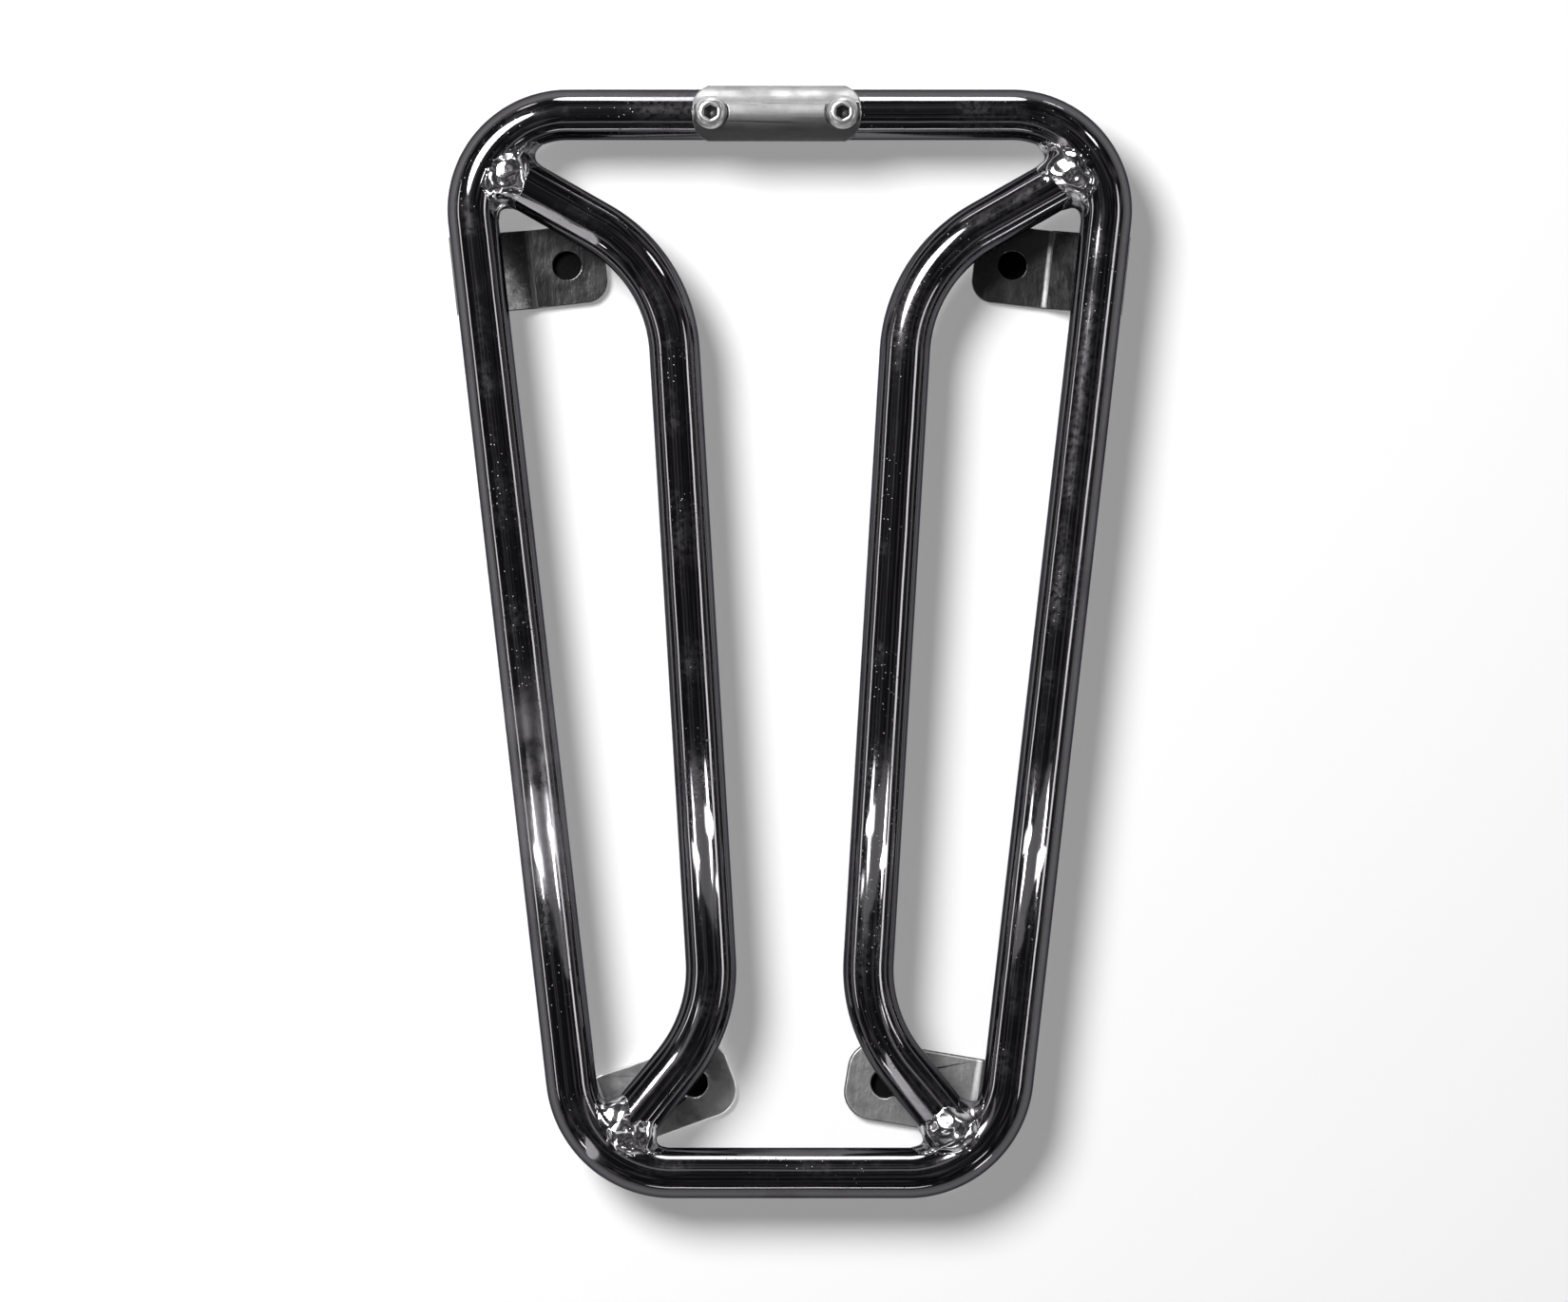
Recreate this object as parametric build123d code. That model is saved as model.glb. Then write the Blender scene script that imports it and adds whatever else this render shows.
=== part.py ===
"""A motorcycle luggage rack of bent steel tube.

A closed hoop of round tube, wider at the rear, carries two bent inner rails that are welded square into
its corners. Four folded flat-bar tabs with a bolt hole each are welded under the hoop, and a curved badge
plate is screwed to the crown of the rear cross tube. The tubes are sealed all round by their welds, so
they are left solid inside.

Millimetres. +Y runs to the rear, where the badge is, +Z is up, and left is -X. The origin is below the
middle of the hoop, on the plane of the tabs' undersides.
"""

import os
from math import acos, asin, atan2, cos, degrees, hypot, radians, sin, sqrt, tan

from build123d import *

# Hoop: lengths run between the tubes' centre lines, widths between the corners as if they were sharp
TUBE_DIAMETER = 16.0
AXIS_HEIGHT = 22.0
HOOP_LENGTH = 334.0
HOOP_REAR_WIDTH = 207.4
HOOP_FRONT_WIDTH = 131.4
HOOP_REAR_BEND_RADIUS = 30.0
HOOP_FRONT_BEND_RADIUS = 32.0

# Inner rails: spacing of their bends as if they were sharp, and how far these lie inside the cross tubes
RAIL_REAR_SPACING = 75.8
RAIL_REAR_INSET = 48.2
RAIL_FRONT_SPACING = 47.6
RAIL_FRONT_INSET = 48.5
RAIL_BEND_RADIUS = 48.0

# What meets the hoop is cut to fit it in straight passes: how many round a bend, and the gap they leave
COPE_PASSES = 4
COPE_GAP = 0.05

# Fillet welds in the crotches between rail and hoop: length along each tube, and depth
WELD_LEG = 5.0
WELD_DEPTH = 10.0

# Mounting tabs: flat bar, folded once, with a weld bead along the inside of the tube
TAB_WIDTH = 25.0
TAB_THICKNESS = 3.0
TAB_FOLD_RADIUS = 4.0
TAB_HOLE_DIAMETER = 9.0
TAB_FIT = 0.2
TAB_BEAD_RADIUS = 1.8
TAB_BEAD_LENGTH = 18.0

# Each pair of tabs: hole spacing and distance from the cross tube, hole to rounded end, tube axis to fold,
# how far the leg laps past the tube, and how far it may stand outside the hoop
REAR_HOLE_SPACING = 141.8
REAR_HOLE_INSET = 46.5
REAR_TAB_END = 12.3
REAR_TAB_CORNER_RADIUS = 7.0
REAR_FOLD_INSET = 16.0
REAR_TAB_LAP = 3.5
REAR_TAB_PROUD = 1.0
FRONT_HOLE_SPACING = 61.2
FRONT_HOLE_INSET = 27.2
FRONT_TAB_END = 12.8
FRONT_TAB_CORNER_RADIUS = 9.0
FRONT_FOLD_INSET = 9.0
FRONT_TAB_LAP = 0.5
FRONT_TAB_PROUD = -1.0
FRONT_LEFT_TAB_TURN = 20.0
FRONT_RIGHT_TAB_TURN = 9.5

# Badge plate, rolled to the rear cross tube
BADGE_LENGTH = 53.2
BADGE_THICKNESS = 2.2
BADGE_WRAP_DEGREES = 120.0
BADGE_CORNER_RADIUS = 7.5
BADGE_OFFSET_X = -4.1
BADGE_FIT = 0.05

# Button-head socket screws that hold the plate
SCREW_SPACING = 41.5
SCREW_DIAMETER = 6.0
SCREW_LENGTH = 8.0
SCREW_HEAD_DIAMETER = 10.5
SCREW_HEAD_HEIGHT = 3.3
SCREW_HEAD_FLAT = 5.6
SOCKET_WIDTH = 4.0
SOCKET_DEPTH = 2.1
SCREW_CLEARANCE = 0.2
THREAD_FIT = 0.05
SEAT_DEPTH = 0.5

TUBE_RADIUS = TUBE_DIAMETER / 2
HALF_LENGTH = HOOP_LENGTH / 2
TAPER = degrees(atan2((HOOP_REAR_WIDTH - HOOP_FRONT_WIDTH) / 2, HOOP_LENGTH))
SCREW_SEAT_HEIGHT = TUBE_RADIUS + BADGE_FIT + BADGE_THICKNESS - SEAT_DEPTH
UP = Vector(0, 0, 1)


def on_axis(x, y):
    """A point at the height of the tubes' centre lines."""
    return Vector(x, y, AXIS_HEIGHT)


def bar(path, radius):
    """A round bar of this radius along a path, with mitres at its sharp corners."""
    return sweep(Plane(path @ 0, z_dir=path % 0) * Circle(radius), path, transition=Transition.RIGHT)


REAR_CORNER = on_axis(HOOP_REAR_WIDTH / 2, HALF_LENGTH)
FRONT_CORNER = on_axis(HOOP_FRONT_WIDTH / 2, -HALF_LENGTH)


def bend_centre(corner, other_corner, radius):
    """The centre of the hoop's bend at a corner: one radius in from both of the tubes that meet there."""
    turn_in = Vector(-1, 0, 0)
    along = (other_corner - corner).normalized()
    half_angle = radians(turn_in.get_angle(along)) / 2
    return corner + (turn_in + along).normalized() * (radius / sin(half_angle))


REAR_BEND_CENTRE = bend_centre(REAR_CORNER, FRONT_CORNER, HOOP_REAR_BEND_RADIUS)
FRONT_BEND_CENTRE = bend_centre(FRONT_CORNER, REAR_CORNER, HOOP_FRONT_BEND_RADIUS)
RIGHT_SIDE = FilletPolyline(
    on_axis(0, -HALF_LENGTH),
    FRONT_CORNER,
    REAR_CORNER,
    on_axis(0, HALF_LENGTH),
    radius=[HOOP_FRONT_BEND_RADIUS, HOOP_REAR_BEND_RADIUS],
)


def hoop_cutter(gap):
    """The right half of the hoop in straight passes just inside its bends, for cutting what meets it."""
    points = [RIGHT_SIDE @ 0]
    for bend in RIGHT_SIDE.edges().filter_by(GeomType.CIRCLE).sort_by(Axis.Y):
        points += [bend @ (step / COPE_PASSES) for step in range(COPE_PASSES + 1)]
    points.append(RIGHT_SIDE @ 1)
    return bar(Polyline(*points), TUBE_RADIUS + gap)


def screw_places():
    """The axes of the two badge screws, at the height of the rear tube's centre line."""
    middle = on_axis(BADGE_OFFSET_X, HALF_LENGTH)
    return [middle - Vector(SCREW_SPACING / 2, 0, 0), middle + Vector(SCREW_SPACING / 2, 0, 0)]


def outer_hoop():
    """The hoop, with the badge screws' tapped holes in the crown of its rear tube."""
    half = bar(RIGHT_SIDE, TUBE_RADIUS)
    hoop = half + mirrored(half)
    radius = SCREW_DIAMETER / 2 + THREAD_FIT
    hole = Cylinder(radius, TUBE_DIAMETER, align=(Align.CENTER, Align.CENTER, Align.MIN))
    for place in screw_places():
        hoop -= Pos(place + UP * (SCREW_SEAT_HEIGHT - SCREW_LENGTH - THREAD_FIT)) * hole
    return hoop


RAIL_REAR_BEND = on_axis(RAIL_REAR_SPACING / 2, HALF_LENGTH - RAIL_REAR_INSET)
RAIL_FRONT_BEND = on_axis(RAIL_FRONT_SPACING / 2, RAIL_FRONT_INSET - HALF_LENGTH)
REAR_RUN = (REAR_BEND_CENTRE - RAIL_REAR_BEND).normalized()
FRONT_RUN = (FRONT_BEND_CENTRE - RAIL_FRONT_BEND).normalized()
RAIL_BAR = bar(
    FilletPolyline(
        REAR_BEND_CENTRE + REAR_RUN * HOOP_REAR_BEND_RADIUS,
        RAIL_REAR_BEND,
        RAIL_FRONT_BEND,
        FRONT_BEND_CENTRE + FRONT_RUN * HOOP_FRONT_BEND_RADIUS,
        radius=RAIL_BEND_RADIUS,
    ),
    TUBE_RADIUS,
)


def right_rail():
    """A rail whose ends aim at the centres of the hoop's bends, coped to the hoop's tube."""
    return RAIL_BAR - hoop_cutter(COPE_GAP)


def rail_welds(centre, run, bend_radius):
    """The fillet welds in both crotches between a rail and the bend with this centre."""
    inside = bend_radius - TUBE_RADIUS
    crotch_angle = asin(TUBE_RADIUS / inside)
    rail_toe = inside * cos(crotch_angle) - WELD_LEG
    hoop_angle = crotch_angle + WELD_LEG / inside
    plan = Plane(centre, x_dir=run.cross(UP), z_dir=UP)
    hoop_toe = (inside * sin(hoop_angle), inside * cos(hoop_angle))
    triangle = Polyline((TUBE_RADIUS, rail_toe), hoop_toe, (0, bend_radius), close=True)
    filler = extrude(plan * make_face(triangle), amount=WELD_DEPTH / 2, both=True)
    weld = filler - RAIL_BAR - hoop_cutter(COPE_GAP)
    return [weld, mirror(weld, about=Plane(centre, z_dir=run.cross(UP)))]


def right_rail_welds():
    """The welds at both ends of a rail."""
    rear = rail_welds(REAR_BEND_CENTRE, REAR_RUN, HOOP_REAR_BEND_RADIUS)
    front = rail_welds(FRONT_BEND_CENTRE, FRONT_RUN, HOOP_FRONT_BEND_RADIUS)
    return Compound(children=[*rear, *front])


def within_hoop(proud):
    """The space over the right half of the hoop, out to this far beyond the outside of its tube."""
    half = make_face([*RIGHT_SIDE.edges(), Line(RIGHT_SIDE @ 1, RIGHT_SIDE @ 0)])
    return extrude(offset(half, TUBE_RADIUS + proud), amount=AXIS_HEIGHT, both=True)


def right_tab(hole_spacing, hole_y, end, corner_radius, fold_inset, lap, proud, turn):
    """A right-hand tab and its weld bead.

    The pad lies level with its hole at the given place, and its axis turns by the given angle from the X
    axis towards the front. From the fold the leg slopes up, touches the lower outer side of the tube and
    laps a little past it. It is trimmed to the outline of the hoop.
    """
    hole = Vector(hole_spacing / 2, hole_y, 0)
    outward = Vector(cos(radians(turn)), -sin(radians(turn)), 0)
    plan = Plane(hole, x_dir=outward, z_dir=UP)
    tube_distance = plan.to_local_coords(RIGHT_SIDE).bounding_box().max.X

    contact_radius = TUBE_RADIUS + TAB_FIT
    rise = AXIS_HEIGHT - TAB_THICKNESS
    slope = acos(contact_radius / hypot(fold_inset, rise)) - atan2(fold_inset, rise)
    up_leg = Vector(cos(slope), sin(slope))
    below_leg = Vector(sin(slope), -cos(slope))

    fold = Vector(tube_distance - fold_inset, TAB_THICKNESS)
    contact = Vector(tube_distance, AXIS_HEIGHT) + below_leg * contact_radius
    leg_end = contact + up_leg * lap
    upper_face = FilletPolyline((-end, TAB_THICKNESS), fold, leg_end, radius=TAB_FOLD_RADIUS)
    lower_fold = (fold.X + TAB_THICKNESS * tan(slope / 2), 0)
    lower_end = leg_end + below_leg * TAB_THICKNESS
    lower_face = FilletPolyline((-end, 0), lower_fold, lower_end, radius=TAB_FOLD_RADIUS + TAB_THICKNESS)
    pad_end = Line((-end, 0), (-end, TAB_THICKNESS))
    profile = make_face([*upper_face.edges(), Line(leg_end, lower_end), *lower_face.edges(), pad_end])

    side_on = Plane(hole, x_dir=outward, z_dir=outward.cross(UP))
    strip = extrude(side_on * profile, amount=TAB_WIDTH, both=True)
    outline_length = end + tube_distance + TUBE_DIAMETER
    outline = Pos(-end, 0) * Rectangle(outline_length, TAB_WIDTH, align=(Align.MIN, Align.CENTER))
    outline = fillet(outline.vertices().group_by(Axis.X)[0], corner_radius)
    tab = strip & extrude(plan * outline, amount=AXIS_HEIGHT + TUBE_DIAMETER) & within_hoop(proud)
    tab -= Pos(hole) * Cylinder(TAB_HOLE_DIAMETER / 2, TAB_THICKNESS * 4)

    bead_inset = sqrt(TUBE_RADIUS**2 - (TUBE_RADIUS - TAB_BEAD_RADIUS) ** 2)
    crotch = contact - up_leg * bead_inset - below_leg * (TAB_BEAD_RADIUS / 2)
    along_tube = Plane(side_on.from_local_coords(crotch), z_dir=side_on.z_dir)
    bead = along_tube * Cylinder(TAB_BEAD_RADIUS, TAB_BEAD_LENGTH)
    return tab, bead - hoop_cutter(TAB_FIT + COPE_GAP) - tab


def badge_plate():
    """The plate: part of a tube round the rear cross tube, rounded in plan, with a flat seat for each head."""
    inside = TUBE_RADIUS + BADGE_FIT
    outside = inside + BADGE_THICKNESS
    half_wrap = radians(BADGE_WRAP_DEGREES / 2)
    reach = 2 * outside
    wedge = make_face(Polyline(
        (0, 0), (reach * sin(half_wrap), reach * cos(half_wrap)), (0, reach / cos(half_wrap / 2)),
        (-reach * sin(half_wrap), reach * cos(half_wrap)), close=True,
    ))
    section = (Circle(outside) - Circle(inside)) & wedge
    middle = on_axis(BADGE_OFFSET_X, HALF_LENGTH)
    across_tube = Plane(middle, x_dir=(0, 1, 0), z_dir=(1, 0, 0))
    plate = extrude(across_tube * section, amount=BADGE_LENGTH / 2, both=True)
    width = 2 * outside * sin(half_wrap) + BADGE_THICKNESS / 4
    outline = RectangleRounded(BADGE_LENGTH, width, BADGE_CORNER_RADIUS)
    plate &= extrude(Pos(middle) * outline, amount=reach)
    seat = Cylinder(
        SCREW_HEAD_DIAMETER / 2 + SCREW_CLEARANCE, reach, align=(Align.CENTER, Align.CENTER, Align.MIN)
    )
    hole = Cylinder(SCREW_DIAMETER / 2 + SCREW_CLEARANCE, 2 * reach)
    for place in screw_places():
        plate -= Pos(place + UP * SCREW_SEAT_HEIGHT) * seat
        plate -= Pos(place) * hole
    return plate


def screw(place):
    """A button-head screw standing on the plate's seat, its shank in the tube."""
    profile = make_face(Polyline(
        (0, SCREW_HEAD_HEIGHT), (0, -SCREW_LENGTH),
        (SCREW_DIAMETER / 2, -SCREW_LENGTH), (SCREW_DIAMETER / 2, 0),
        (SCREW_HEAD_DIAMETER / 2, 0), (SCREW_HEAD_FLAT / 2, SCREW_HEAD_HEIGHT), close=True,
    ))
    body = revolve(Plane.XZ * profile, Axis.Z)
    socket = RegularPolygon(SOCKET_WIDTH / 2, 6, major_radius=False)
    body -= Pos(0, 0, SCREW_HEAD_HEIGHT - SOCKET_DEPTH) * extrude(socket, amount=SOCKET_DEPTH)
    return Pos(place + UP * SCREW_SEAT_HEIGHT) * body


def mirrored(piece):
    """The left-hand twin of a right-hand piece."""
    return mirror(piece, about=Plane.YZ)


def all_pieces():
    """Every piece under its name."""
    rail = right_rail()
    welds = right_rail_welds()
    pieces = {
        "outer_hoop": outer_hoop(),
        "right_rail": rail,
        "left_rail": mirrored(rail),
        "right_rail_welds": welds,
        "left_rail_welds": mirrored(welds),
    }
    rear = (
        REAR_HOLE_SPACING, HALF_LENGTH - REAR_HOLE_INSET, REAR_TAB_END, REAR_TAB_CORNER_RADIUS,
        REAR_FOLD_INSET, REAR_TAB_LAP, REAR_TAB_PROUD, TAPER,
    )
    front = (
        FRONT_HOLE_SPACING, FRONT_HOLE_INSET - HALF_LENGTH, FRONT_TAB_END, FRONT_TAB_CORNER_RADIUS,
        FRONT_FOLD_INSET, FRONT_TAB_LAP, FRONT_TAB_PROUD,
    )
    tabs = {
        "rear_right": right_tab(*rear),
        "rear_left": map(mirrored, right_tab(*rear)),
        "front_right": right_tab(*front, FRONT_RIGHT_TAB_TURN),
        "front_left": map(mirrored, right_tab(*front, FRONT_LEFT_TAB_TURN)),
    }
    for place, (tab, bead) in tabs.items():
        pieces[f"{place}_tab"] = tab
        pieces[f"{place}_tab_weld"] = bead

    pieces["badge_plate"] = badge_plate()
    left_place, right_place = screw_places()
    pieces["left_badge_screw"] = screw(left_place)
    pieces["right_badge_screw"] = screw(right_place)
    return pieces


os.makedirs("parts", exist_ok=True)
for name, piece in all_pieces().items():
    export_step(piece, f"parts/{name}.step")
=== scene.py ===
# %% [markdown]
# # A chromed luggage rack
# The rack is a hoop of bent steel tube with two inner rails, four bolt tabs and a small badge plate. Its
# engineering model is loaded first and stays fixed. It could be rendered as it is, but chrome would show
# its facets. So everything after that dresses it: smoother tubes, lumpy welds, domed screws, and a finish
# for each metal.

# %% Load the engineering model
import random
from math import cos, pi, radians, sin, sqrt, tan

import bpy
import numpy as np
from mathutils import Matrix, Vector


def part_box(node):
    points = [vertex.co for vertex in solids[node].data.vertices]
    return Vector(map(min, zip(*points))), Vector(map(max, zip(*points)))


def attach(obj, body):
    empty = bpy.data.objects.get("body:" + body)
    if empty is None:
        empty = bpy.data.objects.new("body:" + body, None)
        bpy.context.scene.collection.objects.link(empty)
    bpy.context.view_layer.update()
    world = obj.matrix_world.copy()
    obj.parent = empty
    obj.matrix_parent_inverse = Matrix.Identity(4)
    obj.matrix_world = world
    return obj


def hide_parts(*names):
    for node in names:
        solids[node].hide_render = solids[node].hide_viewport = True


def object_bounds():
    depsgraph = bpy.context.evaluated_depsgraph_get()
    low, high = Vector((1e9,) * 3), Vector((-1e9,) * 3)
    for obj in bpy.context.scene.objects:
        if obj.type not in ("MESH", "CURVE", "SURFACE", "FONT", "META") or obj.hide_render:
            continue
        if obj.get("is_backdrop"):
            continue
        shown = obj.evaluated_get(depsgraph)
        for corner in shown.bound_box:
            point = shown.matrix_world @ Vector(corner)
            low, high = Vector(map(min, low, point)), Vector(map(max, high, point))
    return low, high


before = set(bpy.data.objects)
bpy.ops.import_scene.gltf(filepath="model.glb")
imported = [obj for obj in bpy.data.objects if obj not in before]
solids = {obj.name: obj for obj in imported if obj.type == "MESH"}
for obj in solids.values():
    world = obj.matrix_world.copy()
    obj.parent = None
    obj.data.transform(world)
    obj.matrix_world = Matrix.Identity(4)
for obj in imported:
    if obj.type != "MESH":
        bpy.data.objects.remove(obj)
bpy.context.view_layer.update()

# %% [markdown]
# ## The camera
# The photograph looks straight down on the rack. An orthographic camera would do that too, but a real lens
# stands at one point, so this is a distant camera with a long lens. One pixel of the photograph is 0.3 mm
# at the height of the tubes, and the middle of the picture lies a little off the middle of the rack. A
# camera that has no rotation looks down, with +Y upwards in the picture, so only its place and its lens
# have to be set.

# %% Camera
MM = 0.001
PHOTO_WIDTH = 1650
PIXEL = 0.3 * MM
PHOTO_MIDDLE = (-1.8 * MM, -2.25 * MM)
CAMERA_DISTANCE = 2.2
SENSOR_WIDTH = 36
AXIS_HEIGHT = 22 * MM

camera = bpy.data.objects.new("camera", bpy.data.cameras.new("camera"))
camera.location = (*PHOTO_MIDDLE, AXIS_HEIGHT + CAMERA_DISTANCE)
camera.data.sensor_width = SENSOR_WIDTH
camera.data.lens = SENSOR_WIDTH * CAMERA_DISTANCE / (PHOTO_WIDTH * PIXEL)
bpy.context.scene.collection.objects.link(camera)
bpy.context.scene.camera = camera
bpy.context.scene.view_settings.view_transform = "Standard"
print("camera lens", round(camera.data.lens), "mm")

# %% [markdown]
# ## Sums that write nodes
# A finish is a net of shader nodes. It could be wired by hand in the node editor, or node by node in
# Python, but a sum of patterns is easiest to read as a sum. So `Wire` stands for the output of a node, and
# a sum, a difference or a product with it adds the Math node by itself.

# %% Wires
class Wire:
    """The output of a node. Sums with it become Math nodes."""

    def __init__(self, net, socket):
        self.net = net
        self.socket = socket

    def math(self, operation, *values):
        """A Math node of the same net, with these values or wires."""
        return self.net.add("ShaderNodeMath", {"operation": operation}, dict(enumerate(values)))

    def __add__(self, other):
        return self.math("ADD", self, other)

    def __sub__(self, other):
        return self.math("SUBTRACT", self, other)

    def __rsub__(self, other):
        return self.math("SUBTRACT", other, self)

    def __mul__(self, other):
        return self.math("MULTIPLY", self, other)

    def __lt__(self, other):
        return self.math("LESS_THAN", self, other)

    def __abs__(self):
        return self.math("ABSOLUTE", self)

    __radd__ = __add__
    __rmul__ = __mul__


print("wires ready")

# %% [markdown]
# ## Nets of nodes
# Every node that isn't maths comes from one method, `Net.add`: it takes the kind of node, its settings, and
# what goes into its sockets. Writing each finish with that method alone would repeat much, so the nodes
# that come back in most finishes have short words of their own: a noise, a smooth rise, a mix, a bump and a
# bare metal.

# %% Nets
WHITE = (1, 1, 1, 1)


class Net:
    """A node tree that is being written."""

    def __init__(self, tree):
        self.tree = tree
        tree.nodes.clear()

    def add(self, kind, settings=None, sockets=None, output=0):
        """A node of this kind: its settings first, then the values or wires of its sockets."""
        node = self.tree.nodes.new(kind)
        for name, value in (settings or {}).items():
            setattr(node, name, value)
        for name, value in (sockets or {}).items():
            if isinstance(value, Wire):
                self.tree.links.new(value.socket, node.inputs[name])
            else:
                node.inputs[name].default_value = value
        return Wire(self, node.outputs[output]) if node.outputs else None

    def noise(self, place, scale, detail, roughness=0.5):
        """A cloudy pattern from 0 to 1. Scale says how fine it is, detail and roughness how ragged."""
        sockets = {"Vector": place, "Scale": scale, "Detail": detail, "Roughness": roughness}
        return self.add("ShaderNodeTexNoise", {}, sockets)

    def rise(self, value, low, high):
        """0 up to low, 1 from high on, and a smooth rise between."""
        settings = {"interpolation_type": "SMOOTHSTEP"}
        return self.add("ShaderNodeMapRange", settings, {"Value": value, "From Min": low, "From Max": high})

    def mix(self, share, first, second):
        """A colour between two colours."""
        return self.add("ShaderNodeMix", {"data_type": "RGBA"}, {0: share, 6: first, 7: second}, output=2)

    def bump(self, height, distance):
        """A surface that seems to rise by this distance where the height is 1."""
        return self.add("ShaderNodeBump", {}, {"Strength": 1, "Distance": distance, "Height": height})

    def metal(self, colour, roughness, normal, edge_tint=WHITE):
        """A bare metal. The tint colours it where it turns away from the eye."""
        return self.add("ShaderNodeBsdfPrincipled", {}, {
            "Base Color": colour,
            "Metallic": 1,
            "Roughness": roughness,
            "Specular Tint": edge_tint,
            "Normal": normal,
        })

    def surface(self, shader):
        """The shader that the material shows."""
        self.add("ShaderNodeOutputMaterial", {}, {"Surface": shader})


def new_finish(name):
    """A material with an empty net."""
    material = bpy.data.materials.new(name)
    material.use_nodes = True
    return material, Net(material.node_tree)


print("nets ready")

# %% [markdown]
# ## Marks on the chrome
# The rack has been used: small specks gather in patches of its black, and one stretch on the left of the
# hoop is scratched dull. Such marks could be painted in a picture, but a picture has to be wrapped round
# every bend. A noise in space needs no wrapping. So each kind of mark is a noise of its own size, and a
# distance from one spot says where the scratched stretch lies.

# %% Specks and scratches
SPECK_SCALE = 620
SPECK_EDGE = (0.03, 0.16)
PATCH_SCALE = 30
PATCH_EDGE = (0.46, 0.66)
SCRATCHED_SPOT = (-77 * MM, -42 * MM, AXIS_HEIGHT)
SCRATCHED_REACH = (20 * MM, 46 * MM)
SCRATCHED_EDGE = (0.3, 0.6)


def specks_in_patches(net, place):
    """1 in small specks that gather in patches, 0 elsewhere."""
    cells = net.add("ShaderNodeTexVoronoi", {}, {"Vector": place, "Scale": SPECK_SCALE, "Randomness": 1})
    patch = net.noise(place, PATCH_SCALE, detail=3)
    return (1 - net.rise(cells, *SPECK_EDGE)) * net.rise(patch, *PATCH_EDGE)


def scratched_stretch(net, place, cloud):
    """Up to 1 in the clouds round the scratched spot, 0 away from it."""
    ends = {0: place, 1: SCRATCHED_SPOT}
    away = net.add("ShaderNodeVectorMath", {"operation": "DISTANCE"}, ends, output="Value")
    return (1 - net.rise(away, *SCRATCHED_REACH)) * net.rise(cloud, *SCRATCHED_EDGE)


print("the scratched stretch reaches", round(SCRATCHED_REACH[1] / MM), "mm from its middle")

# %% [markdown]
# ## Chrome
# Chrome shows what is round it: a dark ceiling in the middle of each tube, lamps as bright lines, and the
# floor along its edges. A perfect mirror would be the simplest finish, but it looks new and false. So a
# slow waver bends the reflections, and a second, duller metal is mixed in as a veil of fine scratches that
# spreads the light of every lamp.

# %% Chrome
WAVER_SCALE = 55
RIPPLE_SCALE = 210
DENT_DEPTH = 0.4 * MM
SPECK_DEPTH = 0.2
SMEAR_EDGE = (0.46, 0.72)
SMEAR_DULLS = 0.05
WORN_DULL = 0.3
CLOUD_DULLS = 0.1
GRAIN_SCALE = 650
GRAIN_EDGE = (0.3, 0.62)
LEAST_VEIL = 0.03
SPECK_VEIL = 0.7
PLATE_TINT = (0.3, 0.3, 0.32, 1)


def chrome(name, colour, dark, worn_colour, cloud_scale, dull, waver, ripple, veil, specks, scratches=0):
    """Plated metal with dark clouds.

    Waver and ripple bend its reflections, veil dulls it in fine grains, specks break it up, and scratches
    dull the scratched stretch.
    """
    material, net = new_finish(name)
    place = net.add("ShaderNodeTexCoord", output="Object")
    cloud = net.noise(place, cloud_scale, detail=6, roughness=0.62)
    smear = net.rise(cloud, *SMEAR_EDGE)
    speck = specks * specks_in_patches(net, place)
    dents = net.noise(place, WAVER_SCALE, detail=1) + ripple * net.noise(place, RIPPLE_SCALE, detail=2)
    bump = net.bump(dents * waver - SPECK_DEPTH * speck, DENT_DEPTH)
    clear = net.metal(net.mix(smear, colour, dark), dull + SMEAR_DULLS * smear, bump, PLATE_TINT)
    worn = net.metal(net.mix(smear, worn_colour, dark), WORN_DULL + CLOUD_DULLS * cloud, bump, PLATE_TINT)
    grain = net.rise(net.noise(place, GRAIN_SCALE, detail=2), *GRAIN_EDGE)
    share = veil * (LEAST_VEIL + smear * grain) + SPECK_VEIL * speck
    if scratches:
        share = share + scratches * scratched_stretch(net, place, cloud)
    net.surface(net.add("ShaderNodeMixShader", {}, {0: share, 1: clear, 2: worn}))
    return material


print("chrome recipe ready")

# %% [markdown]
# ## Three chromes
# Tubes and welds were plated together, so one chrome could cover them all. But in one finish the welds would
# be lost between the tubes. So the tubes are dark and clear, and the weld metal gets two copies of one
# chrome:
# the lumps a bright, dented one as a painted highlight, and the fillets round them one that lies in between,
# darker than the lumps as painted shade in the crotches.

# %% Chrome finishes
tube_chrome = chrome(
    "tube_chrome",
    colour=(0.11, 0.107, 0.112, 1), dark=(0.085, 0.081, 0.088, 1), worn_colour=(0.22, 0.212, 0.224, 1),
    cloud_scale=38, dull=0.06, waver=0.5, ripple=0.05, veil=0.3, specks=0.9, scratches=0.5)
lump_lit_chrome = chrome(
    "lump_lit_chrome",
    colour=(0.72, 0.71, 0.72, 1), dark=(0.07, 0.067, 0.07, 1), worn_colour=(0.5, 0.49, 0.5, 1),
    cloud_scale=150, dull=0.09, waver=0.45, ripple=0.35, veil=0.2, specks=0)
fillet_shaded_chrome = chrome(
    "fillet_shaded_chrome",
    colour=(0.2, 0.195, 0.2, 1), dark=(0.11, 0.105, 0.11, 1), worn_colour=(0.3, 0.29, 0.31, 1),
    cloud_scale=170, dull=0.14, waver=0.5, ripple=0.2, veil=0.4, specks=0.2)
print("made", tube_chrome.name, lump_lit_chrome.name, fillet_shaded_chrome.name)
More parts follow.
